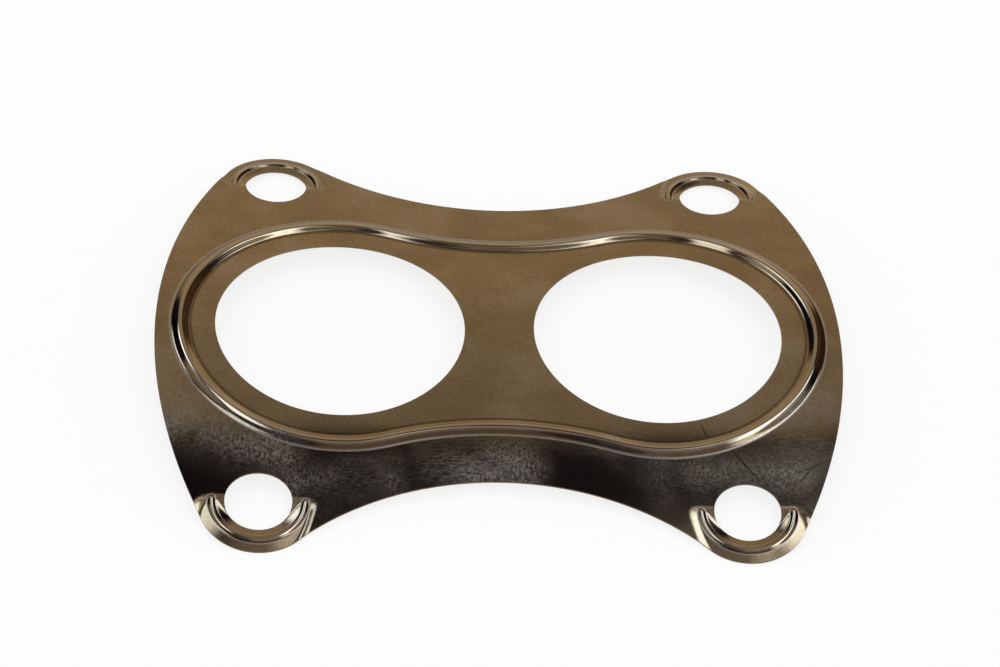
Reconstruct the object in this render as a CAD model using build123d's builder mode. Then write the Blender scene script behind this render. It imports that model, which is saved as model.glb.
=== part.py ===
"""Twin-port exhaust flange gasket: one thin sheet of stainless steel, pressed and bowed.

Millimetres.  X runs along the pair of ports, Y across them and Z is up.
The sheet arches over X and sags a little along it, as a sprung sheet does.
It is built the way it is made.  An upper form has the shape of the sheet's top face,
a lower form has the shape of its underside one sheet thickness below, and the
metal is what lies between the two, cut to the outline and pierced.
"""
import os
from math import asin, atan, cos, radians, sin, sqrt, tan

from build123d import *

# sheet
sheet_thickness = 0.25
bow_radius = 275.0          # arch across the ports, to the top face
saddle_radius = 1150.0      # slight counter-curve along the ports

# flange pattern
port_radius = 21.5
port_offset = 27.5          # centre of the sheet to centre of a port
bolt_hole_radius = 5.5
bolt_offset_x = 40.0
bolt_offset_y = 40.0

# outline
ear_radius = 9.85
half_width = 59.2
half_waist = 34.6

# sealing bead, one closed loop round both ports
bead_radius = 27.5          # centre line of the bead about each port
bead_half_waist = 23.0      # centre line of the bead at the middle of the sheet
bead_half_width = 1.75
bead_height = 0.55
crown_share = 0.4           # share of the turn of a flank taken by the flat crown

# crescent pressed round the outer half of each bolt hole
crescent_radius = 7.6
crescent_half_width = 0.8
crescent_half_top = 0.25
crescent_rise = 0.15        # crown of the crescent above the sheet
pocket_depth = 0.12         # feet of the crescent, below the sheet
band_slope = 5.4            # degrees, fall of the band outside the crescent towards the edge
lip_slope = 14.0            # degrees, fall of the band inside the crescent towards the hole
lip_spare = 1.0             # how far that band runs on inside the hole before piercing
pocket_ramp = 2.4           # run of the slope at the ends of the pressed area
pocket_start_y = -0.6       # start of that slope, from the hole centre
pocket_start_x = -8.9
pocket_lean = 8.0           # degrees that this side leans towards the hole
pocket_corner_x = 7.7       # foot of the slope on the outer side, where it turns aslant
pocket_slant = 62.0         # degrees that it then leans from the line of the ports

# working allowances of the forms
form_half_length = 63.0
form_depth = 14.0
form_sweep = 30.0           # degrees of arch that the forms cover
bead_bite = 0.02            # foot of the bead below the sheet, so the faces cross
bead_root = 1.5
crescent_root = 2.5
pocket_top = 0.3
pocket_reach = 14.0
bead_stations = 5           # sections along a quarter of the bead


def sheet_plane(x: float, y: float) -> Plane:
    """Return the plane that touches the top face of the plain sheet above (x, y).

    Args:
        x: Distance along the ports from the middle of the sheet.
        y: Distance across the ports from the middle of the sheet.
    """
    reach = bow_radius + saddle_radius - sqrt(saddle_radius**2 - x**2)
    lean = asin(y / reach)
    tip = asin(x / saddle_radius)
    return Plane(
        origin=(x, y, reach * cos(lean) - bow_radius),
        x_dir=(cos(tip), sin(tip) * sin(lean), sin(tip) * cos(lean)),
        z_dir=(-sin(tip), cos(tip) * sin(lean), cos(tip) * cos(lean)),
    )


def plain_form(inset: float) -> Part:
    """Return a block whose top face is the plain arched sheet.

    Args:
        inset: Distance from the top face of the sheet down to the top of the block.
    """
    start = Plane(origin=(0, 0, -bow_radius), x_dir=(1, 0, 0), z_dir=(0, -1, 0))
    saddle = saddle_radius + inset
    end_rise = saddle_radius - sqrt(saddle**2 - form_half_length**2)
    with BuildPart() as form:
        with BuildSketch(start.rotated((-form_sweep / 2, 0, 0))):
            with BuildLine():
                ThreePointArc(
                    (-form_half_length, bow_radius + end_rise),
                    (0, bow_radius - inset),
                    (form_half_length, bow_radius + end_rise),
                )
                Polyline(
                    (form_half_length, bow_radius + end_rise),
                    (form_half_length, bow_radius - form_depth),
                    (-form_half_length, bow_radius - form_depth),
                    (-form_half_length, bow_radius + end_rise),
                )
            make_face()
        revolve(axis=Axis((0, 0, -bow_radius), (1, 0, 0)), revolution_arc=form_sweep)
    return form.part


def bead_line(inset: float) -> Wire:
    """Return the line across the bead, foot to foot over its crown.

    It keeps to four equal arcs, two at the feet and two meeting at the crown, in five flats.

    Args:
        inset: Distance from the top face of the sheet down to this line.
    """
    height = bead_height + bead_bite
    turn = 2 * atan(height / bead_half_width)
    bend = bead_half_width / (2 * sin(turn))
    foot_bend = bend + inset
    crown_bend = bend - inset
    flank_x = bead_half_width - foot_bend * sin(turn / 2)
    flank_y = bend - bead_bite - foot_bend * cos(turn / 2)
    crown_x = crown_bend * tan(turn * crown_share)
    with BuildLine() as line:
        Polyline(
            (-bead_half_width, -bead_bite - inset),
            (-flank_x, flank_y),
            (-crown_x, bead_height - inset),
            (crown_x, bead_height - inset),
            (flank_x, flank_y),
            (bead_half_width, -bead_bite - inset),
        )
    return line.wires()[0]


def bead_path() -> Wire:
    """Return a quarter of the bead's centre line, laid on the top face of the sheet."""
    waist_radius = (port_offset**2 + bead_half_waist**2 - bead_radius**2) / (
        2 * (bead_radius - bead_half_waist)
    )
    share = waist_radius / (waist_radius + bead_radius)
    flow = Vector(
        port_offset * share,
        (bead_half_waist + waist_radius) * (1 - share),
    )
    with BuildLine() as plan:
        RadiusArc((port_offset + bead_radius, 0), (flow.X, flow.Y), -bead_radius)
        RadiusArc((flow.X, flow.Y), (0, bead_half_waist), waist_radius)
    sheet_face = plain_form(0).faces().filter_by(GeomType.TORUS)[0]
    above = plan.wires()[0].moved(Location((0, 0, form_depth)))
    return above.project_to_shape(sheet_face, direction=Vector(0, 0, -1))[0]


def bead_quarter(path: Wire, inset: float) -> Part:
    """Return a quarter of the bead's body, standing square on the sheet along the path.

    Args:
        path: Quarter of the bead's centre line on the sheet.
        inset: Distance from the top face of the sheet down to this surface.
    """
    line = bead_line(inset)
    with BuildSketch() as section:
        with BuildLine():
            add(line)
            Polyline(
                line @ 1,
                (bead_half_width, -bead_root),
                (-bead_half_width, -bead_root),
                line @ 0,
            )
        make_face()
    sections = []
    for station in range(bead_stations):
        along = station / (bead_stations - 1)
        point = path @ along
        ahead = path % along
        up = sheet_plane(point.X, point.Y).z_dir
        place = Plane(origin=point, x_dir=up.cross(ahead), z_dir=ahead)
        sections.append(place * section.sketch)
    return sweep(sections, path=path, multisection=True)


def pocket(inset: float) -> Part:
    """Return the shallow area pressed down round the outer half of one bolt hole.

    Its sides towards the middle of the gasket are long slopes.

    Args:
        inset: Distance from the top face of the sheet down to this surface.
    """
    lip_run = crescent_radius - crescent_half_width - bolt_hole_radius
    depth = pocket_depth + lip_run * tan(radians(lip_slope))
    spread = pocket_ramp * (depth + pocket_top) / depth
    start_x = pocket_start_x + pocket_ramp
    start_y = pocket_start_y + pocket_ramp
    lean_x = start_x + (pocket_reach - start_y) * tan(radians(pocket_lean))
    slant_x = pocket_corner_x + (pocket_reach - start_y) / tan(radians(pocket_slant))
    with BuildSketch() as floor:
        with BuildLine():
            Polyline(
                (start_x, start_y),
                (pocket_corner_x, start_y),
                (slant_x, pocket_reach),
                (lean_x, pocket_reach),
                close=True,
            )
        make_face()
    with BuildSketch() as mouth:
        offset(floor.sketch, amount=spread, kind=Kind.INTERSECTION)
    with BuildPart() as tool:
        with BuildSketch(Plane.XY.offset(-depth - inset)):
            add(floor.sketch)
        with BuildSketch(Plane.XY.offset(pocket_top - inset)):
            add(mouth.sketch)
        loft()
    return tool.part


def crescent_line(inset: float) -> Wire:
    """Return the line across the crescent: two flanks and a flat top.

    Args:
        inset: Distance from the top face of the sheet down to this line.
    """
    rise = crescent_rise + pocket_depth
    slope = atan(rise / (crescent_half_width - crescent_half_top))
    shift = inset * tan(slope / 2)
    foot_x = crescent_half_width - shift
    top_x = crescent_half_top - shift
    with BuildLine() as line:
        Polyline(
            (-foot_x, -pocket_depth - inset),
            (-top_x, crescent_rise - inset),
            (top_x, crescent_rise - inset),
            (foot_x, -pocket_depth - inset),
        )
    return line.wires()[0]


def crescent(inset: float) -> Part:
    """Return the crescent with the pressed bands on both sides of it, about the hole axis.

    Args:
        inset: Distance from the top face of the sheet down to this surface.
    """
    line = crescent_line(inset)
    ring = line.moved(Location((crescent_radius, 0, 0)))
    lip_radius = bolt_hole_radius - lip_spare
    lip_run = crescent_radius - crescent_half_width - lip_radius
    lip_level = -pocket_depth - inset - lip_run * tan(radians(lip_slope))
    band_run = pocket_reach - crescent_radius - crescent_half_width
    band_level = -pocket_depth - inset - band_run * tan(radians(band_slope))
    with BuildPart() as ridge:
        with BuildSketch(Plane.XZ) as section:
            with BuildLine():
                add(ring)
                Polyline(
                    ring @ 1,
                    (pocket_reach, band_level),
                    (pocket_reach, -crescent_root),
                    (lip_radius, -crescent_root),
                    (lip_radius, lip_level),
                    ring @ 0,
                )
            make_face()
        revolve(axis=Axis.Z, revolution_arc=180)
        with BuildSketch(Plane.XZ):
            with BuildLine():
                add(line)
                Polyline(
                    line @ 1,
                    ((line @ 1).X, -crescent_root),
                    ((line @ 0).X, -crescent_root),
                    line @ 0,
                )
            make_face()
            split(bisect_by=Plane.YZ)
        end_cap = revolve(axis=Axis.Z, mode=Mode.PRIVATE)
        with Locations((crescent_radius, 0, 0), (-crescent_radius, 0, 0)):
            add(end_cap)
    return ridge.part


def four_ways(piece: Part) -> list[Part]:
    """Return a piece with its mirror images in the other three quarters of the sheet."""
    half = [piece, mirror(piece, about=Plane.YZ)]
    return half + [mirror(one, about=Plane.XZ) for one in half]


def pressed_form(inset: float) -> Part:
    """Return a block whose top face is the pressed sheet.

    Args:
        inset: Distance from the top face of the sheet down to the top of the block.
    """
    ear = sheet_plane(bolt_offset_x, bolt_offset_y)
    ridges = four_ways(ear * crescent(inset)) + four_ways(bead_quarter(bead_path(), inset))
    with BuildPart() as form:
        add(plain_form(inset))
        add(four_ways(ear * pocket(inset)), mode=Mode.SUBTRACT)
        add(ridges)
    return form.part


def outline_edge() -> Wire:
    """Return the closed outer edge: side, ear and waist arcs, each flowing into the next."""
    inward = bolt_offset_x - half_width
    side_radius = (ear_radius**2 - inward**2 - bolt_offset_y**2) / (2 * (inward + ear_radius))
    outward = bolt_offset_y - half_waist
    waist_radius = (bolt_offset_x**2 + outward**2 - ear_radius**2) / (2 * (outward + ear_radius))
    ear_centre = Vector(bolt_offset_x, bolt_offset_y)
    from_side = (ear_centre - Vector(half_width - side_radius, 0)).normalized()
    to_waist = (Vector(0, half_waist + waist_radius) - ear_centre).normalized()
    ear_start = ear_centre + from_side * ear_radius
    ear_end = ear_centre + to_waist * ear_radius
    with BuildLine() as edge:
        RadiusArc((half_width, 0), (ear_start.X, ear_start.Y), -side_radius)
        RadiusArc((ear_start.X, ear_start.Y), (ear_end.X, ear_end.Y), -ear_radius)
        RadiusArc((ear_end.X, ear_end.Y), (0, half_waist), waist_radius)
        mirror(about=Plane.YZ)
        mirror(about=Plane.XZ)
    return edge.wires()[0]


def main() -> None:
    """Press the sheet between the two forms, cut it out, pierce it and write it out."""
    upper_form = pressed_form(0)
    lower_form = pressed_form(sheet_thickness)
    with BuildPart() as pressing:
        add(upper_form)
        add(lower_form, mode=Mode.SUBTRACT)
        with BuildSketch(Plane.XY.offset(-form_depth)):
            with BuildLine():
                add(outline_edge())
            make_face()
            with Locations((-port_offset, 0), (port_offset, 0)):
                Circle(port_radius, mode=Mode.SUBTRACT)
            with GridLocations(2 * bolt_offset_x, 2 * bolt_offset_y, 2, 2):
                Circle(bolt_hole_radius, mode=Mode.SUBTRACT)
        extrude(amount=2 * form_depth, mode=Mode.INTERSECT)

    rest_height = -pressing.part.bounding_box().min.Z
    with BuildPart() as gasket_plate:
        with Locations((0, 0, rest_height)):
            add(pressing.part)
    gasket_plate.part.label = "gasket_plate"

    os.makedirs("parts", exist_ok=True)
    export_step(gasket_plate.part, "parts/gasket_plate.step")


main()
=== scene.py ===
"""Twin-port exhaust flange gasket: one bright steel sheet, arched, beaded and pierced.

X runs along the pair of ports, Y across them and Z is up out of the beaded face.
"""
from __future__ import annotations

import logging
from collections.abc import Iterable
from dataclasses import dataclass, field
from enum import Enum
from math import asin, atan, atan2, cos, hypot, pi, radians, sin, sqrt, tan

import bmesh
import bpy
from mathutils import Matrix, Vector


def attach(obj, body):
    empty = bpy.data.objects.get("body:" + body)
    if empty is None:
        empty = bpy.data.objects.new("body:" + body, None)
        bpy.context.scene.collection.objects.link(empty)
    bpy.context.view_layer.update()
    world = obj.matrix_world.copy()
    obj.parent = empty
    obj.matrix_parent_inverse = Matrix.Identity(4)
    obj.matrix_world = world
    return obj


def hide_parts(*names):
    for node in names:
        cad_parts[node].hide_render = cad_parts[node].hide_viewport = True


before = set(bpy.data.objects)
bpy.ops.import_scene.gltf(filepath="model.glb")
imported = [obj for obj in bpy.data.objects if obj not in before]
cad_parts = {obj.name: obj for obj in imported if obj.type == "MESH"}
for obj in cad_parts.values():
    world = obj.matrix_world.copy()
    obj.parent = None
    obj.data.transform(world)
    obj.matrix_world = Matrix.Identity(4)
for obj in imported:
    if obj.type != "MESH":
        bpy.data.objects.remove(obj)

MM = 0.001
RIDGE_SIDE = "ridge_side"
NODE = "gasket_plate"
LOG = logging.getLogger("gasket")

Pair = tuple[float, float]
Triple = tuple[float, float, float]
Colour = tuple[float, float, float, float]


def in_order(parts: Iterable) -> list:
    """Return the parts without repeats, in the order in which they come."""
    return list(dict.fromkeys(parts))


def soft_max(first: float, second: float, blend: float) -> float:
    """Return the larger of two heights, with a rounded crease where they cross.

    Args:
        first: One height.
        second: The other height.
        blend: Difference within which the crease is rounded.

    Returns:
        The blended height, never below either.
    """
    share = max(0.0, 1.0 - abs(first - second) / blend)
    return max(first, second) + 0.25 * blend * share * share


def soft_min(first: float, second: float, blend: float) -> float:
    """Return the smaller of two heights, with a rounded crease where they cross.

    Args:
        first: One height.
        second: The other height.
        blend: Difference within which the crease is rounded.

    Returns:
        The blended height, never above either.
    """
    return -soft_max(-first, -second, blend)


def wave(distance: float, half: float, height: float) -> float:
    """Return the height of a rounded ridge: two foot arcs that flow into a crown.

    Args:
        distance: Distance from the ridge's centre line.
        half: Half of the width between the feet.
        height: Height of the crown above the feet.

    Returns:
        The height above the feet, zero outside them.
    """
    turn = 2 * atan(height / half)
    bend = half / (2 * sin(turn))
    reach = abs(distance)
    if reach >= half:
        return 0.0
    if reach > bend * sin(turn):
        return bend - sqrt(bend**2 - (half - reach) ** 2)
    return height - bend + sqrt(bend**2 - reach**2)


@dataclass(frozen=True)
class ArchedSheet:
    """The plain sheet before pressing, arched over X with a slight sag along it."""

    bow_radius: float = 275.0 * MM
    sag_radius: float = 1150.0 * MM
    thickness: float = 0.25 * MM

    def point(self, x: float, y: float) -> Vector:
        """Return the point of the top face at (x, y), measured from its middle."""
        reach = self.bow_radius + self.sag_radius - sqrt(self.sag_radius**2 - x * x)
        return Vector((x, y, sqrt(reach**2 - y * y) - self.bow_radius))

    def normal(self, x: float, y: float) -> Vector:
        """Return the unit direction square to the top face at (x, y)."""
        reach = self.bow_radius + self.sag_radius - sqrt(self.sag_radius**2 - x * x)
        lean = asin(y / reach)
        tip = asin(x / self.sag_radius)
        return Vector((-sin(tip), cos(tip) * sin(lean), cos(tip) * cos(lean)))


@dataclass(frozen=True)
class SealingBead:
    """The raised bead, one closed loop round both ports with a waist between them."""

    radius: float = 27.5 * MM
    port_offset: float = 27.5 * MM
    half_waist: float = 23.0 * MM
    half_width: float = 1.75 * MM
    height: float = 0.55 * MM

    @property
    def waist_radius(self) -> float:
        """Radius of the hollow arc at the waist."""
        spread = self.port_offset**2 + self.half_waist**2 - self.radius**2
        return spread / (2 * (self.radius - self.half_waist))

    @property
    def waist_centre(self) -> float:
        """Y of the centre of the waist arc."""
        return self.half_waist + self.waist_radius

    @property
    def waist_turn(self) -> float:
        """Angle of the waist arc on one side of the middle."""
        return atan2(self.port_offset, self.waist_centre)

    def distance(self, x: float, y: float) -> float:
        """Return how far (x, y) lies outside the bead's centre line."""
        across, along = abs(y), abs(x)
        if atan2(along, self.waist_centre - across) < self.waist_turn:
            return self.waist_radius - hypot(along, self.waist_centre - across)
        return hypot(along - self.port_offset, across) - self.radius

    def rise(self, x: float, y: float) -> float:
        """Return the height of the bead above the plain sheet at (x, y)."""
        return wave(self.distance(x, y), self.half_width, self.height)


@dataclass(frozen=True)
class StudPressing:
    """The pressed area round the outer half of a stud hole, with its crescent ridge.

    Beyond clear times start_x or start_y from the hole axis the sheet is plain.
    """

    offset: float = 40.0 * MM
    hole_radius: float = 5.5 * MM
    ridge_radius: float = 7.6 * MM
    ridge_half: float = 0.8 * MM
    ridge_rise: float = 0.15 * MM
    depth: float = 0.12 * MM
    band_slope: float = radians(5.4)
    lip_slope: float = radians(14.0)
    ramp: float = 2.4 * MM
    start_y: float = -0.6 * MM
    start_x: float = -8.9 * MM
    lean: float = radians(8.0)
    corner_x: float = 7.7 * MM
    slant: float = radians(62.0)
    crease: float = 0.09 * MM
    corner: float = 2.0 * MM
    ramp_blend: float = 0.8
    clear: Pair = (1.2, 4.0)

    def sink(self, u: float, v: float) -> float:
        """Return how far the plain sheet is pressed down, without the ridge and its bands.

        Args:
            u: Distance from the hole axis, outwards along the ports.
            v: Distance from the hole axis, outwards across the ports.

        Returns:
            The drop, below zero where nothing is pressed.
        """
        lip_run = self.ridge_radius - self.ridge_half - self.hole_radius
        full = self.depth + lip_run * tan(self.lip_slope)
        past = v - self.start_y - self.ramp
        inner = cos(self.lean) * (u - self.start_x - self.ramp) - sin(self.lean) * past
        outer = cos(self.slant) * past - sin(self.slant) * (u - self.corner_x)
        edge = soft_min(soft_min(past, inner, self.corner), outer, self.corner)
        return full * soft_min(1.0 + edge / self.ramp, 1.0, self.ramp_blend)

    def lift(self, u: float, v: float, level: float) -> float:
        """Return the height of the pressed face over the ear's own flat.

        Args:
            u: Distance from the hole axis, outwards along the ports.
            v: Distance from the hole axis, outwards across the ports.
            level: Height of the plain sheet over the same flat.

        Returns:
            The pressed height there.
        """
        sink = self.sink(u, v)
        if sink < -2 * self.crease:
            return level
        sunk = soft_min(level, -sink, self.crease)
        reach = hypot(u, v)
        if v < 0:
            reach = self.ridge_radius + hypot(abs(u) - self.ridge_radius, v)
        top = wave(reach - self.ridge_radius, self.ridge_half, self.depth + self.ridge_rise)
        top -= self.depth
        if v < 0 and top <= -self.depth:
            return sunk
        top -= max(0.0, reach - self.ridge_radius - self.ridge_half) * tan(self.band_slope)
        top -= max(0.0, self.ridge_radius - self.ridge_half - reach) * tan(self.lip_slope)
        return soft_max(sunk, top, self.crease)


@dataclass(frozen=True)
class PressedFace:
    """The finished top face: the arched sheet with its bead and its four pressings."""

    sheet: ArchedSheet = field(default_factory=ArchedSheet)
    bead: SealingBead = field(default_factory=SealingBead)
    ear: StudPressing = field(default_factory=StudPressing)

    def point(self, x: float, y: float) -> Vector:
        """Return the point of the top face that started at (x, y) of the flat blank."""
        base = self.sheet.point(x, y)
        rise = self.bead.rise(x, y)
        if rise > 0:
            return base + self.sheet.normal(x, y) * rise
        ear = self.ear
        clear_x, clear_y = ear.start_x * ear.clear[0], ear.start_y * ear.clear[1]
        if abs(x) < ear.offset + clear_x or abs(y) < ear.offset + clear_y:
            return base
        right, far = (1 if x > 0 else -1), (1 if y > 0 else -1)
        up = self.sheet.normal(ear.offset, ear.offset)
        origin = self.sheet.point(ear.offset, ear.offset)
        out_x = Vector((up.z, 0, -up.x)).normalized()
        out_y = up.cross(out_x)
        local = Vector((base.x * right, base.y * far, base.z)) - origin
        level = local.dot(up)
        lift = ear.lift(local.dot(out_x), local.dot(out_y), level)
        return base + Vector((up.x * right, up.y * far, up.z)) * (lift - level)

    def ridge_side(self, x: float, y: float) -> float:
        """Return where (x, y) lies across the nearest ridge, in half widths of it.

        Args:
            x: Place on the blank along the ports.
            y: Place on the blank across the ports.

        Returns:
            0 on the crown, -1 and 1 at the bead's inner and outer feet, 2 at most.
        """
        ear = self.ear
        u, v = abs(x) - ear.offset, abs(y) - ear.offset
        if v > 0:
            reach = abs(hypot(u, v) - ear.ridge_radius)
        else:
            reach = hypot(abs(u) - ear.ridge_radius, v)
        if reach < 2 * ear.ridge_half:
            return reach / ear.ridge_half
        side = self.bead.distance(x, y) / self.bead.half_width
        return max(-2.0, min(2.0, side))

    def normal(self, x: float, y: float) -> Vector:
        """Return the unit direction square to the pressed face at (x, y)."""
        step = 0.01 * MM
        along = self.point(x + step, y) - self.point(x - step, y)
        across = self.point(x, y + step) - self.point(x, y - step)
        return along.cross(across).normalized()


@dataclass(frozen=True)
class Outline:
    """The outer edge: side, ear and waist arcs that flow into each other."""

    half_width: float = 59.19 * MM
    half_waist: float = 34.6 * MM
    ear_radius: float = 9.85 * MM
    ear_offset: float = 40.0 * MM

    @property
    def side_centre(self) -> float:
        """X of the centre of the bulging side arc."""
        inward = self.ear_offset - self.half_width
        top = self.ear_radius**2 - inward**2 - self.ear_offset**2
        return self.half_width - top / (2 * (inward + self.ear_radius))

    @property
    def waist_centre(self) -> float:
        """Y of the centre of the hollow waist arc."""
        outward = self.ear_offset - self.half_waist
        top = self.ear_offset**2 + outward**2 - self.ear_radius**2
        return self.half_waist + top / (2 * (outward + self.ear_radius))


@dataclass
class GasketPlate:
    """The pierced and pressed sheet, built flat, then given its thickness and pressed.

    Within fine_margin times the start of a pressing the triangles are ear_pitch wide, and
    from there they grow to plain_pitch.
    """

    face: PressedFace = field(default_factory=PressedFace)
    outline: Outline = field(default_factory=Outline)
    port_radius: float = 21.5 * MM
    edge_step: float = 1.0 * MM
    bead_columns: int = 18
    bead_margin: float = 1.12
    ring_outer: float = 9.5 * MM
    ring_rows: int = 20
    ring_steps: int = 144
    port_steps: int = 180
    plain_pitch: float = 2.2 * MM
    ear_pitch: float = 0.6 * MM
    fine_margin: Pair = (1.15, 3.0)
    rounds: int = 9
    smoothing: float = 0.5
    seam: float = 0.001 * MM
    weld: float = 0.01 * MM
    rest_gap: float = 0.002 * MM

    def build(self) -> bpy.types.Object:
        """Build the plate's mesh at rest on the floor.

        Returns:
            The finished object, linked to the scene.
        """
        work = bmesh.new()
        work.verts.layers.float.new(RIDGE_SIDE)
        self.lay_bead_band(work)
        self.lay_stud_rings(work)
        self.mirror_quarters(work)
        rims = [edge for edge in work.edges if edge.is_boundary]
        self.lay_outline(work)
        self.lay_ports(work)
        self.fill_plain_areas(work, rims)
        upper = self.thicken(work)
        shape = self.press(work, upper)
        mesh = bpy.data.meshes.new("gasket_sheet")
        work.to_mesh(mesh)
        work.free()
        mesh.normals_split_custom_set(shape)
        plate = bpy.data.objects.new("gasket_sheet", mesh)
        bpy.context.scene.collection.objects.link(plate)
        return plate

    def turn_about(
        self, work: bmesh.types.BMesh, parts: list, centre: Pair, angle: float, steps: int
    ) -> list:
        """Spin a chain about an upright axis and return the chain at the far end.

        Args:
            work: Mesh being built.
            parts: Vertices and edges to spin.
            centre: X and Y of the axis.
            angle: Turn, anticlockwise from above.
            steps: Number of steps in the turn.

        Returns:
            The vertices and edges at the end of the turn.
        """
        spun = bmesh.ops.spin(
            work,
            geom=parts,
            cent=(centre[0], centre[1], 0),
            axis=(0, 0, 1),
            dvec=(0, 0, 0),
            angle=angle,
            steps=steps,
            use_merge=False,
        )
        return spun["geom_last"]

    def draw_chain(
        self, work: bmesh.types.BMesh, start: Pair, end: Pair, steps: int
    ) -> list:
        """Draw a straight chain of edges.

        Args:
            work: Mesh being built.
            start: X and Y of its first vertex.
            end: X and Y of its last vertex.
            steps: Number of edges.

        Returns:
            Its vertices and edges.
        """
        first = bmesh.ops.create_vert(work, co=(start[0], start[1], 0))["vert"][0]
        known = set(work.edges)
        pull = ((end[0] - start[0]) / steps, (end[1] - start[1]) / steps, 0)
        bmesh.ops.spin(
            work, geom=[first], cent=(0, 0, 0), axis=(0, 0, 1), dvec=pull, angle=0, steps=steps
        )
        edges = [edge for edge in work.edges if edge not in known]
        return in_order(vert for edge in edges for vert in edge.verts) + edges

    def lay_bead_band(self, work: bmesh.types.BMesh) -> None:
        """Lay a quarter of the band that becomes the bead, by spinning a line across it."""
        bead = self.face.bead
        half = bead.half_width * self.bead_margin
        middle = bead.port_offset + bead.radius
        chain = self.draw_chain(work, (middle - half, 0), (middle + half, 0), self.bead_columns)
        lobe = pi / 2 + bead.waist_turn
        steps = round(lobe * bead.radius / self.edge_step)
        chain = self.turn_about(work, chain, (bead.port_offset, 0), lobe, steps)
        steps = round(bead.waist_turn * bead.waist_radius / self.edge_step)
        self.turn_about(work, chain, (0, bead.waist_centre), -bead.waist_turn, steps)

    def lay_stud_rings(self, work: bmesh.types.BMesh) -> None:
        """Lay the fine ring round one stud hole, by spinning a line across it."""
        ear = self.face.ear
        start = (ear.offset + ear.hole_radius, ear.offset)
        end = (ear.offset + self.ring_outer, ear.offset)
        chain = self.draw_chain(work, start, end, self.ring_rows)
        centre = (ear.offset, ear.offset)
        self.turn_about(work, chain, centre, 2 * pi, self.ring_steps)

    def mirror_quarters(self, work: bmesh.types.BMesh) -> None:
        """Mirror what is laid in one quarter into the other three."""
        for axis in ("X", "Y"):
            bmesh.ops.mirror(
                work,
                geom=list(work.verts) + list(work.edges) + list(work.faces),
                matrix=Matrix.Identity(4),
                merge_dist=self.seam,
                axis=axis,
            )
        bmesh.ops.remove_doubles(work, verts=list(work.verts), dist=self.weld)

    def lay_outline(self, work: bmesh.types.BMesh) -> None:
        """Lay the outer edge: three arcs spun in one quarter, then mirrored twice."""
        line = self.outline
        side = line.half_width - line.side_centre
        ear_at = line.ear_offset
        side_turn = atan2(ear_at, ear_at - line.side_centre)
        waist_turn = atan2(ear_at, line.waist_centre - ear_at)
        waist = line.waist_centre - line.half_waist
        known = set(work.verts)
        chain = [bmesh.ops.create_vert(work, co=(line.half_width, 0, 0))["vert"][0]]
        steps = round(side_turn * side / self.edge_step)
        chain = self.turn_about(work, chain, (line.side_centre, 0), side_turn, steps)
        ear_turn = pi / 2 + waist_turn - side_turn
        steps = round(ear_turn * line.ear_radius / self.ear_pitch)
        chain = self.turn_about(work, chain, (ear_at, ear_at), ear_turn, steps)
        steps = round(waist_turn * waist / self.edge_step)
        self.turn_about(work, chain, (0, line.waist_centre), -waist_turn, steps)
        drawn = [vert for vert in work.verts if vert not in known]
        for axis in ("X", "Y"):
            edges = in_order(edge for vert in drawn for edge in vert.link_edges)
            bmesh.ops.mirror(
                work, geom=drawn + edges, matrix=Matrix.Identity(4), merge_dist=0, axis=axis
            )
            drawn = [vert for vert in work.verts if vert not in known]
        bmesh.ops.remove_doubles(work, verts=drawn, dist=self.weld)

    def lay_ports(self, work: bmesh.types.BMesh) -> None:
        """Lay the rims of the two ports."""
        for side in (-1, 1):
            bmesh.ops.create_circle(
                work,
                segments=self.port_steps,
                radius=self.port_radius,
                matrix=Matrix.Translation((side * self.face.bead.port_offset, 0, 0)),
            )

    def fill_plain_areas(self, work: bmesh.types.BMesh, rims: list) -> None:
        """Fill the plain areas on both sides of the bead and divide them finely enough.

        Args:
            work: Mesh being built.
            rims: Open edges of the bead band and of the stud rings.
        """
        ear = self.face.ear
        hole_edge = (ear.hole_radius + self.ring_outer) / 2
        outer, inner = [], []
        for edge in rims + [edge for edge in work.edges if edge.is_wire]:
            middle = (edge.verts[0].co + edge.verts[1].co) / 2
            if hypot(abs(middle.x) - ear.offset, abs(middle.y) - ear.offset) < hole_edge:
                continue
            inside = self.face.bead.distance(middle.x, middle.y) < 0
            (inner if inside else outer).append(edge)
        plain = work.faces.layers.int.new("plain")
        for loop_edges in (outer, inner):
            filled = bmesh.ops.triangle_fill(
                work, use_beauty=True, use_dissolve=False, edges=loop_edges, normal=(0, 0, 1)
            )
            for part in filled["geom"]:
                if isinstance(part, bmesh.types.BMFace):
                    part[plain] = 1
        fixed = set(outer) | set(inner)
        for _ in range(self.rounds):
            if not self.divide_long_edges(work, plain, fixed):
                break

    def divide_long_edges(
        self, work: bmesh.types.BMesh, plain: bmesh.types.BMLayerItem, fixed: set
    ) -> bool:
        """Halve the edges that are too long for their place and even out the triangles.

        Args:
            work: Mesh being built.
            plain: Face layer that marks the filled areas.
            fixed: Rim edges, which stay whole.

        Returns:
            True if any edge was divided.
        """
        marked = [face for face in work.faces if face[plain]]
        loose = in_order(edge for face in marked for edge in face.edges if edge not in fixed)
        long_edges = [edge for edge in loose if edge.calc_length() > self.pitch_at(edge)]
        if not long_edges:
            return False
        bmesh.ops.subdivide_edges(work, edges=long_edges, cuts=1)
        marked = [face for face in work.faces if face[plain]]
        bmesh.ops.triangulate(work, faces=[face for face in marked if len(face.verts) > 3])
        marked = [face for face in work.faces if face[plain]]
        loose = in_order(edge for face in marked for edge in face.edges if edge not in fixed)
        bmesh.ops.beautify_fill(work, faces=marked, edges=loose, method="ANGLE")
        marked = [face for face in work.faces if face[plain]]
        rims = {vert for edge in fixed for vert in edge.verts}
        inside = in_order(vert for face in marked for vert in face.verts if vert not in rims)
        bmesh.ops.smooth_vert(
            work, verts=inside, factor=self.smoothing, use_axis_x=True, use_axis_y=True
        )
        return True

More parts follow.
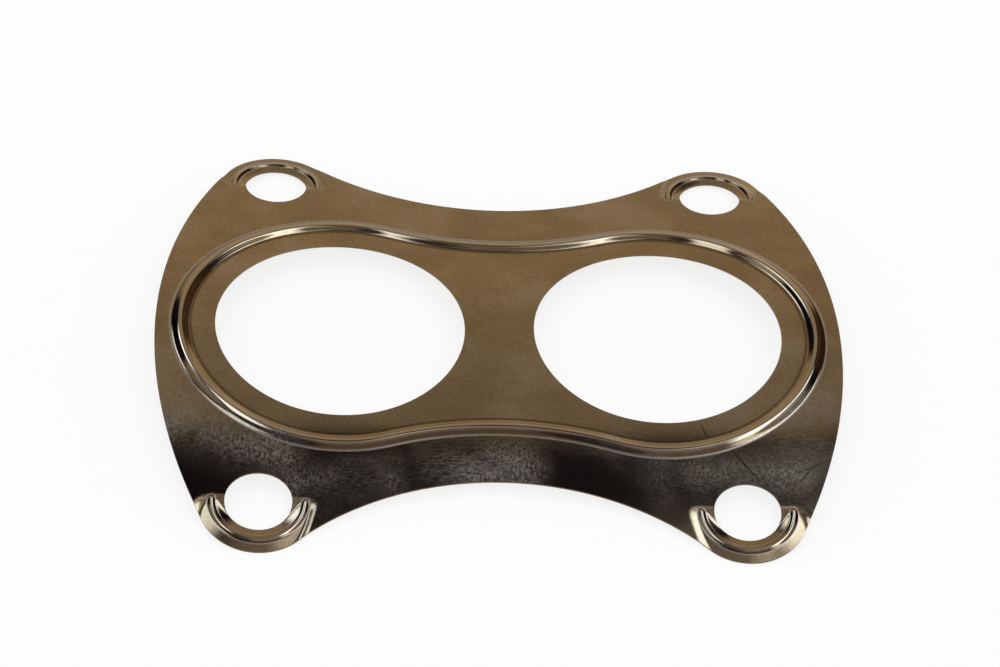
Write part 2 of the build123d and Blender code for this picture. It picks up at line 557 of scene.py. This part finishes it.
    def pitch_at(self, edge: bmesh.types.BMEdge) -> float:
        """Return the longest edge allowed where this one lies."""
        middle = (edge.verts[0].co + edge.verts[1].co) / 2
        ear = self.face.ear
        u, v = abs(middle.x) - ear.offset, abs(middle.y) - ear.offset
        fine_x, fine_y = ear.start_x * self.fine_margin[0], ear.start_y * self.fine_margin[1]
        room = max(fine_x - u, fine_y - v, 0)
        return min(self.plain_pitch, self.ear_pitch + room)

    def thicken(self, work: bmesh.types.BMesh) -> set:
        """Give the flat blank a second face and walls along every edge.

        Args:
            work: Mesh being built.

        Returns:
            The vertices of the upper face.
        """
        grown = bmesh.ops.extrude_face_region(
            work,
            geom=list(work.verts) + list(work.edges) + list(work.faces),
            use_keep_orig=True,
        )
        upper = {part for part in grown["geom"] if isinstance(part, bmesh.types.BMVert)}
        bmesh.ops.translate(work, verts=list(upper), vec=(0, 0, self.face.sheet.thickness))
        bmesh.ops.recalc_face_normals(work, faces=list(work.faces))
        return upper

    def press(self, work: bmesh.types.BMesh, upper: set) -> list:
        """Move both faces to their pressed shape and set the sheet down on the floor.

        Args:
            work: Mesh being built.
            upper: Vertices of the upper face.

        Returns:
            The exact normal for each corner of each face.
        """
        square = {}
        side = work.verts.layers.float[RIDGE_SIDE]
        for vert in work.verts:
            x, y = vert.co.x, vert.co.y
            vert[side] = self.face.ridge_side(x, y)
            place = self.face.point(x, y)
            facing = self.face.normal(x, y)
            if vert not in upper:
                place.z -= self.face.sheet.thickness / facing.z
                facing = -facing
            vert.co = place
            square[vert] = facing
        lowest = min(vert.co.z for vert in work.verts)
        bmesh.ops.translate(work, verts=list(work.verts), vec=(0, 0, self.rest_gap - lowest))
        corners = []
        for face in work.faces:
            levels = {vert in upper for vert in face.verts}
            face.smooth = len(levels) == 1
            face.normal_update()
            for vert in face.verts:
                corners.append(square[vert] if face.smooth else face.normal.copy())
        return corners


class Noise(Enum):
    """Kinds of pattern in a finish: size in features a metre, detail, warp and stretch."""

    ROLLING = (1.0, 2.0, 0.0, (24.0, 1300.0, 24.0))
    RUBBING = (1.0, 4.0, 0.3, (1300.0, 3000.0, 1100.0))
    WIPING = (1.0, 4.0, 0.3, (2700.0, 1500.0, 1100.0))
    HANDLING = (70.0, 3.0, 0.3, (1.0, 1.3, 1.0))


@dataclass
class NodeDesk:
    """Adds nodes to a material or world, each returned as the socket that carries its value."""

    tree: bpy.types.NodeTree

    def feed(self, socket: bpy.types.NodeSocket, value: object) -> None:
        """Link a socket to another, or set it.

        Args:
            socket: Input to fill.
            value: A socket, a number or a tuple.
        """
        if isinstance(value, bpy.types.NodeSocket):
            self.tree.links.new(value, socket)
        else:
            socket.default_value = value

    def math(self, operation: str, *values: object) -> bpy.types.NodeSocket:
        """Return a number worked out from others.

        Args:
            operation: Blender's name of the operation.
            values: Sockets or numbers.

        Returns:
            The result.
        """
        node = self.tree.nodes.new("ShaderNodeMath")
        node.operation = operation
        for socket, value in zip(node.inputs, values):
            self.feed(socket, value)
        return node.outputs[0]

    def vector(self, operation: str, *values: object) -> bpy.types.Node:
        """Return a node that works on vectors.

        Args:
            operation: Blender's name of the operation.
            values: Sockets or tuples.

        Returns:
            The node.
        """
        node = self.tree.nodes.new("ShaderNodeVectorMath")
        node.operation = operation
        for socket, value in zip(node.inputs, values):
            self.feed(socket, value)
        return node

    def step(
        self, value: object, low: float, high: float, ends: Pair = (0.0, 1.0)
    ) -> bpy.types.NodeSocket:
        """Return a smooth step.

        Args:
            value: What is measured.
            low: Where the step starts.
            high: Where it ends.
            ends: Values before and after it.

        Returns:
            The step's value.
        """
        node = self.tree.nodes.new("ShaderNodeMapRange")
        node.interpolation_type = "SMOOTHSTEP"
        self.feed(node.inputs["Value"], value)
        node.inputs["From Min"].default_value = low
        node.inputs["From Max"].default_value = high
        node.inputs["To Min"].default_value = ends[0]
        node.inputs["To Max"].default_value = ends[1]
        return node.outputs["Result"]

    def noise(self, kind: Noise, place: bpy.types.NodeSocket) -> bpy.types.NodeSocket:
        """Return a noise pattern.

        Args:
            kind: Size, detail, warp and stretch of the pattern.
            place: Position on the object.

        Returns:
            Its value, about one half on average.
        """
        scale, detail, warp, stretch = kind.value
        moved = self.vector("MULTIPLY", place, stretch).outputs[0]
        node = self.tree.nodes.new("ShaderNodeTexNoise")
        node.inputs["Scale"].default_value = scale
        node.inputs["Detail"].default_value = detail
        node.inputs["Distortion"].default_value = warp
        self.tree.links.new(moved, node.inputs["Vector"])
        return node.outputs["Fac"]

    def mix(self, share: object, first: object, second: object) -> bpy.types.NodeSocket:
        """Return a colour between two.

        Args:
            share: Share of the second colour.
            first: First colour, or a socket.
            second: Second colour, or a socket.

        Returns:
            The mixed colour.
        """
        node = self.tree.nodes.new("ShaderNodeMix")
        node.data_type = "RGBA"
        self.feed(node.inputs["Factor"], share)
        self.feed(node.inputs["A"], first)
        self.feed(node.inputs["B"], second)
        return node.outputs["Result"]


@dataclass(frozen=True)
class Mark:
    """A mark on the sheet: a line from start to end, with a soft border, in millimetres."""

    start: Pair
    end: Pair
    half_width: float
    border: float
    strength: float = 1.0

    def cover(self, desk: NodeDesk, place: bpy.types.NodeSocket) -> bpy.types.NodeSocket:
        """Return how much the mark covers, from 0 to 1.

        Args:
            desk: Desk of the finish's node tree.
            place: Position on the object.

        Returns:
            The cover.
        """
        run = Vector((self.end[0] - self.start[0], self.end[1] - self.start[1], 0.0)) * MM
        start = (self.start[0] * MM, self.start[1] * MM, 0.0)
        flat = desk.vector("MULTIPLY", place, (1.0, 1.0, 0.0)).outputs[0]
        away = desk.vector("SUBTRACT", flat, start).outputs[0]
        along = desk.vector("DOT_PRODUCT", away, tuple(run / run.length_squared))
        share = desk.math("MINIMUM", desk.math("MAXIMUM", along.outputs["Value"], 0.0), 1.0)
        foot = desk.vector("SCALE", tuple(run))
        desk.feed(foot.inputs["Scale"], share)
        gap = desk.vector("DISTANCE", away, foot.outputs[0]).outputs["Value"]
        half, border = self.half_width * MM, self.border * MM
        return desk.step(gap, half, half + border, (self.strength, 0.0))


@dataclass(frozen=True)
class HandledSteel:
    """Bright rolled stainless sheet, warm in tone, with rolling lines and finger marks, and
    painted highlight on the ridge crowns and painted shade at their feet.
    """

    name: str = "handled_bright_steel"
    bright: Colour = (0.21, 0.15, 0.092, 1.0)
    dull: Colour = (0.16, 0.113, 0.066, 1.0)
    # crown: lighter colour painted on the ridge crowns as a painted highlight.
    crown: Colour = (0.25, 0.19, 0.13, 1.0)
    # foot: darker colour painted in the ridge feet as painted shade.
    foot: Colour = (0.1, 0.066, 0.036, 1.0)
    hazy: Colour = (0.225, 0.19, 0.16, 1.0)
    scratch_tone: float = 0.35
    clean_roughness: float = 0.07
    smudged_roughness: float = 0.2
    haze: float = 0.25
    rolling_bump: float = 0.0012 * MM
    rubbing_bump: float = 0.002 * MM
    stroke_change: Pair = (0.4, 0.6)
    tone_change: Pair = (0.8, 1.2)
    # The painted crown highlight fades out between these distances from the crown line, in half
    # widths.
    crown_highlight_edge: Pair = (0.15, 0.45)
    # Bands of painted shade along the ridge feet: middle and half width, in half widths of the
    # ridge.
    shaded_feet: tuple[Pair, ...] = ((-1.0, 0.22), (0.6, 0.28))
    # A band along the outer foot that is paler, less metallic and rougher: middle and half width.
    pale_rough_foot: Pair = (1.0, 0.14)
    band_core: float = 0.4
    streak_change: Pair = (0.35, 0.65)
    streak_cover: Pair = (0.35, 1.0)
    uneven_change: Pair = (0.3, 0.7)
    uneven_cover: Pair = (0.5, 1.5)
    worn_change: Pair = (0.5, 0.8)
    worn_cover: Pair = (0.0, 0.5)
    smudges: tuple[Mark, ...] = (
        Mark((-10.0, -31.5), (2.0, -31.5), 0.0, 8.5, 1.0),
        Mark((25.5, -31.0), (26.5, -36.0), 0.0, 6.5, 0.35),
        Mark((-54.0, -25.0), (-38.0, -31.0), 0.0, 10.0, 0.7),
        Mark((-36.0, -38.0), (-20.0, -34.0), 0.0, 9.0, 0.6),
        Mark((50.0, -26.0), (53.0, -18.0), 0.0, 9.0, 0.6),
        Mark((33.0, -33.0), (48.0, -32.0), 0.0, 8.0, 0.55),
    )
    scratches: tuple[Mark, ...] = (
        Mark((49.6, -33.3), (52.2, -30.7), 0.03, 0.08),
        Mark((38.6, -28.0), (42.4, -33.9), 0.04, 0.1),
        Mark((44.0, -34.5), (54.5, -29.6), 0.02, 0.08),
        Mark((33.5, -22.0), (34.3, -24.4), 0.06, 0.1),
    )

    def build(self) -> bpy.types.Material:
        """Build the finish.

        Returns:
            The node material.
        """
        material = bpy.data.materials.new(self.name)
        material.use_nodes = True
        desk = NodeDesk(material.node_tree)
        shader = material.node_tree.nodes["Principled BSDF"]
        place = material.node_tree.nodes.new("ShaderNodeTexCoord").outputs["Object"]
        ridge = material.node_tree.nodes.new("ShaderNodeAttribute")
        ridge.attribute_name = RIDGE_SIDE
        side = ridge.outputs["Fac"]
        handling = desk.noise(Noise.HANDLING, place)
        strokes = desk.mix(
            desk.step(handling, *self.stroke_change),
            desk.noise(Noise.RUBBING, place),
            desk.noise(Noise.WIPING, place),
        )
        smudged = self.smudge_cover(desk, place, handling)
        streaks = desk.step(strokes, *self.streak_change, self.streak_cover)
        patch = desk.math("MINIMUM", desk.math("MULTIPLY", smudged, streaks), 1.0)
        # The outer foot band takes the paler hazy colour, less metal and more roughness.
        patch = desk.math("MAXIMUM", patch, self.band(desk, side, self.pale_rough_foot))
        colour = desk.mix(patch, self.clean_colour(desk, side, handling, strokes), self.hazy)
        scratched = self.cover_of(desk, place, self.scratches)
        dark = tuple(self.scratch_tone * part for part in self.dull[:3]) + (1.0,)
        desk.feed(shader.inputs["Base Color"], desk.mix(scratched, colour, dark))
        film = desk.math("MULTIPLY_ADD", patch, -self.haze, 1.0)
        desk.feed(shader.inputs["Metallic"], film)
        rough = self.smudged_roughness - self.clean_roughness
        gloss = desk.math("MULTIPLY_ADD", patch, rough, self.clean_roughness)
        desk.feed(shader.inputs["Roughness"], gloss)
        lines = desk.noise(Noise.ROLLING, place)
        normal = self.raise_bump(desk, lines, self.rolling_bump, None)
        normal = self.raise_bump(desk, strokes, self.rubbing_bump, normal)
        desk.feed(shader.inputs["Normal"], normal)
        return material

    def clean_colour(
        self,
        desk: NodeDesk,
        side: bpy.types.NodeSocket,
        handling: bpy.types.NodeSocket,
        strokes: bpy.types.NodeSocket,
    ) -> bpy.types.NodeSocket:
        """Return the colour without smudges: uneven sheet, with painted highlight on the crowns
        and painted shade at the feet.

        Args:
            desk: Desk of the finish's node tree.
            side: Place across the ridge, in half widths of it.
            handling: Uneven pattern of the handling.
            strokes: Fine pattern of the rubbing.

        Returns:
            The colour socket.
        """
        tone = desk.step(desk.math("ADD", handling, strokes), *self.tone_change)
        sheet = desk.mix(tone, self.dull, self.bright)
        # Painted highlight: the lighter crown colour is laid along the ridge crowns.
        off_crown = desk.step(desk.math("ABSOLUTE", side), *self.crown_highlight_edge)
        # Painted shade: the darker foot colour is laid in bands along the ridge feet.
        foot_shade = [self.band(desk, side, line) for line in self.shaded_feet]
        # Here the sheet takes the crown colour as a painted highlight.
        wear_and_highlight = desk.mix(off_crown, self.crown, sheet)
        return desk.mix(desk.math("MAXIMUM", *foot_shade), wear_and_highlight, self.foot)

    def band(
        self, desk: NodeDesk, side: bpy.types.NodeSocket, line: Pair
    ) -> bpy.types.NodeSocket:
        """Return a soft band that runs along a ridge.

        Args:
            desk: Desk of the finish's node tree.
            side: Place across the ridge, in half widths of it.
            line: Where the band's middle lies, and half of its width.

        Returns:
            The band's cover, from 0 to 1.
        """
        middle, half = line
        away = desk.math("ABSOLUTE", desk.math("SUBTRACT", side, middle))
        return desk.step(away, self.band_core * half, half, (1.0, 0.0))

    def cover_of(
        self, desk: NodeDesk, place: bpy.types.NodeSocket, marks: tuple[Mark, ...]
    ) -> bpy.types.NodeSocket:
        """Return how much any of several marks covers.

        Args:
            desk: Desk of the finish's node tree.
            place: Position on the object.
            marks: The marks.

        Returns:
            The cover, from 0 to 1.
        """
        cover = marks[0].cover(desk, place)
        for mark in marks[1:]:
            cover = desk.math("MAXIMUM", cover, mark.cover(desk, place))
        return cover

    def smudge_cover(
        self, desk: NodeDesk, place: bpy.types.NodeSocket, handling: bpy.types.NodeSocket
    ) -> bpy.types.NodeSocket:
        """Return how much the finger marks cover, with uneven borders.

        Args:
            desk: Desk of the finish's node tree.
            place: Position on the object.
            handling: Uneven pattern of the handling.

        Returns:
            The cover, from 0 to 1.
        """
        marks = self.cover_of(desk, place, self.smudges)
        uneven = desk.step(handling, *self.uneven_change, self.uneven_cover)
        pressed = desk.math("MULTIPLY", marks, uneven)
        wear_and_highlight = desk.step(handling, *self.worn_change, self.worn_cover)
        return desk.math("MAXIMUM", pressed, wear_and_highlight)

    def raise_bump(
        self,
        desk: NodeDesk,
        height: bpy.types.NodeSocket,
        depth: float,
        normal: bpy.types.NodeSocket | None,
    ) -> bpy.types.NodeSocket:
        """Return the surface normal with a pattern raised on it.

        Args:
            desk: Desk of the finish's node tree.
            height: The pattern, from 0 to 1.
            depth: Height of the pattern's full range.
            normal: Normal to start from, or None.

        Returns:
            The new normal.
        """
        bump = desk.tree.nodes.new("ShaderNodeBump")
        bump.inputs["Distance"].default_value = depth
        desk.feed(bump.inputs["Height"], height)
        if normal is not None:
            desk.feed(bump.inputs["Normal"], normal)
        return bump.outputs["Normal"]


@dataclass(frozen=True)
class SkyCard:
    """A soft-edged bright area of the surroundings, by angle.

    Elevation runs from the far horizon (0) over the top (90) to the near horizon (180),
    and side from the left (-90) to the right (90).  Its two upright edges may lean, by so
    many degrees of side for each degree of elevation above the pivot.
    """

    elevation: Pair
    side: Pair
    soft: Pair
    colour: Triple
    lean: Pair = (0.0, 0.0)
    pivot: float = 60.0

    def leaned(
        self, desk: NodeDesk, angles: tuple[bpy.types.NodeSocket, ...], lean: float
    ) -> bpy.types.NodeSocket:
        """Return the side angle as seen from an edge that leans.

        Args:
            desk: Desk of the surroundings' node tree.
            angles: Elevation and side, in degrees.
            lean: Degrees of side for each degree of elevation.

        Returns:
            The side angle less the edge's lean.
        """
        shift = desk.math("MULTIPLY_ADD", angles[0], -lean, lean * self.pivot)
        return desk.math("ADD", angles[1], shift)

    def add(
        self, desk: NodeDesk, angles: tuple[bpy.types.NodeSocket, ...], below: object
    ) -> bpy.types.NodeSocket:
        """Add the card's light to what is there.

        Args:
            desk: Desk of the surroundings' node tree.
            angles: Elevation and side, in degrees.
            below: Colour without the card.

        Returns:
            Colour with the card.
        """
        share = None
        sides = [self.leaned(desk, angles, lean) for lean in self.lean]
        for angle, at, soft, ends in (
            (angles[0], self.elevation[0], self.soft[0], (0.0, 1.0)),
            (angles[0], self.elevation[1], self.soft[0], (1.0, 0.0)),
            (sides[0], self.side[0], self.soft[1], (0.0, 1.0)),
            (sides[1], self.side[1], self.soft[1], (1.0, 0.0)),
        ):
            edge = desk.step(angle, at - soft, at + soft, ends)
            share = edge if share is None else desk.math("MULTIPLY", share, edge)
        glow = desk.vector("SCALE", self.colour)
        desk.feed(glow.inputs["Scale"], share)
        return desk.vector("ADD", glow.outputs[0], below).outputs[0]


@dataclass(frozen=True)
class Studio:
    """Pale floor, soft surroundings and camera."""

    floor_half: float = 3.0
    floor_colour: Colour = (0.9, 0.9, 0.9, 1.0)
    floor_roughness: float = 0.9
    floor_glow: float = 0.82
    room: Triple = (0.02, 0.022, 0.04)
    far_room: Triple = (0.66, 0.59, 0.48)
    far_tilt: Pair = (radians(44.0), radians(36.0))
    far_height: Pair = (0.15, 0.95)
    far_fade: Pair = (1.0, 0.35)
    cards: tuple[SkyCard, ...] = (
        SkyCard((-230.0, 54.9), (-11.0, 13.0), (1.6, 4.0), (0.66, 0.62, 0.5), (0.62, -0.5), 45.0),
        SkyCard((-230.0, 42.0), (-11.0, 13.0), (9.0, 4.0), (0.24, 0.13, 0.0), (0.62, -0.5), 45.0),
        SkyCard((-230.0, 26.0), (11.0, 17.0), (9.0, 3.5), (0.5, 0.48, 0.46)),
        SkyCard((-230.0, 50.0), (22.0, 80.0), (6.0, 5.0), (0.16, 0.09, 0.02)),
        SkyCard((68.0, 150.0), (-70.0, 70.0), (5.0, 8.0), (0.12, 0.12, 0.14)),
        SkyCard((68.0, 150.0), (-3.0, 70.0), (5.0, 3.0), (0.45, 0.43, 0.43)),
        SkyCard((60.0, 130.0), (-60.0, -19.0), (4.0, 5.0), (1.0, 1.1, 1.1), (0.0, -0.5)),
        SkyCard((60.0, 94.0), (-9.5, -2.5), (4.0, 2.0), (4.0, 5.0, 6.0), (-0.6, -0.35)),
        SkyCard((62.0, 130.0), (14.0, 50.0), (4.0, 4.0), (0.5, 0.5, 0.5), (0.42, 0.0)),
        SkyCard((59.0, 114.0), (8.0, 17.0), (4.0, 3.0), (5.0, 6.2, 7.6), (0.37, 0.42)),
        SkyCard((64.0, 76.0), (5.5, 10.0), (3.0, 2.0), (1.3, 1.5, 1.6)),
        SkyCard((45.0, 59.0), (-23.0, -13.0), (3.0, 3.0), (5.0, 6.2, 7.6)),
        SkyCard((53.0, 62.0), (15.0, 24.0), (3.0, 3.0), (5.0, 6.2, 7.6)),
    )
    focal: float = 2768.77
    image_width: float = 1000.0
    sensor_width: float = 36.0
    clip: Pair = (0.01, 20.0)
    camera_place: Triple = (-26.874 * MM, -352.991 * MM, 327.562 * MM)
    elevation: float = 0.7414
    yaw: float = 0.0764
    roll: float = 0.0782

    def build(self) -> None:
        """Build the floor, the surroundings and the camera."""
        self.lay_floor()
        self.light_surroundings()
        self.place_camera()
        bpy.context.scene.view_settings.view_transform = "Standard"

    def lay_floor(self) -> None:
        """Lay the pale floor, which shows white and keeps the gasket's shadow."""
        work = bmesh.new()
        bmesh.ops.create_grid(work, x_segments=1, y_segments=1, size=self.floor_half)
        mesh = bpy.data.meshes.new("floor")
        work.to_mesh(mesh)
        work.free()
        floor = bpy.data.objects.new("floor", mesh)
        bpy.context.scene.collection.objects.link(floor)
        material = bpy.data.materials.new("pale_floor")
        material.use_nodes = True
        nodes = material.node_tree.nodes
        links = material.node_tree.links
        shader = nodes["Principled BSDF"]
        shader.inputs["Base Color"].default_value = self.floor_colour
        shader.inputs["Roughness"].default_value = self.floor_roughness
        glow = nodes.new("ShaderNodeEmission")
        glow.inputs["Strength"].default_value = 1.0
        rays = nodes.new("ShaderNodeLightPath")
        desk = NodeDesk(material.node_tree)
        seen = desk.math("MAXIMUM", rays.outputs["Is Camera Ray"], rays.outputs["Is Glossy Ray"])
        seen = desk.math("MAXIMUM", seen, rays.outputs["Is Transmission Ray"])
        mix = nodes.new("ShaderNodeMixShader")
        links.new(desk.math("MULTIPLY", seen, self.floor_glow), mix.inputs["Fac"])
        links.new(shader.outputs[0], mix.inputs[1])
        links.new(glow.outputs[0], mix.inputs[2])
        links.new(mix.outputs[0], nodes["Material Output"].inputs["Surface"])
        mesh.materials.append(material)

    def light_surroundings(self) -> None:
        """Surround the scene with white, and with soft cards in what the metal mirrors."""
        world = bpy.data.worlds.new("studio")
        bpy.context.scene.world = world
        world.use_nodes = True
        world.cycles.sampling_method = "NONE"
        tree = world.node_tree
        tree.nodes.clear()
        output = tree.nodes.new("ShaderNodeOutputWorld")
        desk = NodeDesk(tree)
        way = tree.nodes.new("ShaderNodeTexCoord").outputs["Generated"]
        light = self.light_far_room(desk, way)
        angles = self.sky_angles(desk, way)
        for card in self.cards:
            light = card.add(desk, angles, light)
        mirrored = tree.nodes.new("ShaderNodeBackground")
        desk.feed(mirrored.inputs["Color"], light)
        plain = tree.nodes.new("ShaderNodeBackground")
        plain.inputs["Color"].default_value = (1.0, 1.0, 1.0, 1.0)
        rays = tree.nodes.new("ShaderNodeLightPath")
        mix = tree.nodes.new("ShaderNodeMixShader")
        desk.feed(mix.inputs["Fac"], rays.outputs["Is Glossy Ray"])
        desk.feed(mix.inputs[1], plain.outputs[0])
        desk.feed(mix.inputs[2], mirrored.outputs[0])
        desk.feed(output.inputs["Surface"], mix.outputs[0])

    def split(
        self, desk: NodeDesk, way: bpy.types.NodeSocket
    ) -> bpy.types.bpy_prop_collection:
        """Return the X, Y and Z sockets of a direction, made one unit long.

        Args:
            desk: Desk of the surroundings' node tree.
            way: The direction.

        Returns:
            The three sockets, by their letters.
        """
        split = desk.tree.nodes.new("ShaderNodeSeparateXYZ")
        desk.feed(split.inputs[0], desk.vector("NORMALIZE", way).outputs[0])
        return split.outputs

    def light_far_room(
        self, desk: NodeDesk, way: bpy.types.NodeSocket
    ) -> bpy.types.NodeSocket:
        """Light the parts of the room that only faces far from level mirror to the front.

        Args:
            desk: Desk of the surroundings' node tree.
            way: The direction looked in.

        Returns:
            The room's colour socket, pale there and dark elsewhere.
        """
        toward = Vector(self.camera_place).normalized()
        half_way = self.split(desk, desk.vector("ADD", way, tuple(toward)).outputs[0])
        steep, level = self.far_tilt
        share = desk.step(half_way["Z"], cos(steep), cos(level), (1.0, 0.0))
        height = self.split(desk, way)["Z"]
        fade = desk.step(height, *self.far_height, self.far_fade)
        glow = desk.vector("SCALE", self.far_room)
        desk.feed(glow.inputs["Scale"], desk.math("MULTIPLY", share, fade))
        return desk.vector("ADD", glow.outputs[0], self.room).outputs[0]

    def sky_angles(
        self, desk: NodeDesk, way: bpy.types.NodeSocket
    ) -> tuple[bpy.types.NodeSocket, ...]:
        """Return the elevation and the side of a direction, in degrees.

        Args:
            desk: Desk of the surroundings' node tree.
            way: The direction looked in.

        Returns:
            The two angle sockets.
        """
        unit = self.split(desk, way)
        over = desk.math("ARCTAN2", unit["Z"], unit["Y"])
        aside = desk.math("ARCSINE", unit["X"])
        return desk.math("DEGREES", over), desk.math("DEGREES", aside)

    def place_camera(self) -> None:
        """Place the camera in front of the gasket, looking down at it."""
        data = bpy.data.cameras.new("camera")
        data.sensor_width = self.sensor_width
        data.lens = self.focal * data.sensor_width / self.image_width
        data.clip_start, data.clip_end = self.clip
        camera = bpy.data.objects.new("camera", data)
        turn = (
            Matrix.Rotation(-self.yaw, 4, "Z")
            @ Matrix.Rotation(pi / 2 - self.elevation, 4, "X")
            @ Matrix.Rotation(self.roll, 4, "Z")
        )
        camera.matrix_world = Matrix.Translation(self.camera_place) @ turn
        bpy.context.scene.collection.objects.link(camera)
        bpy.context.scene.camera = camera


def main() -> None:
    """Build the gasket and its studio, and report each piece."""
    logging.basicConfig(level=logging.INFO, format="%(message)s")
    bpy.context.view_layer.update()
    plate = GasketPlate().build()
    plate.data.materials.append(HandledSteel().build())
    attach(plate, "root")
    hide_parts(NODE)
    LOG.info("gasket sheet: %d faces", len(plate.data.polygons))
    studio = Studio()
    studio.build()
    LOG.info("studio: floor, %d sky cards and camera", len(studio.cards))


if __name__ == "__main__":
    main()
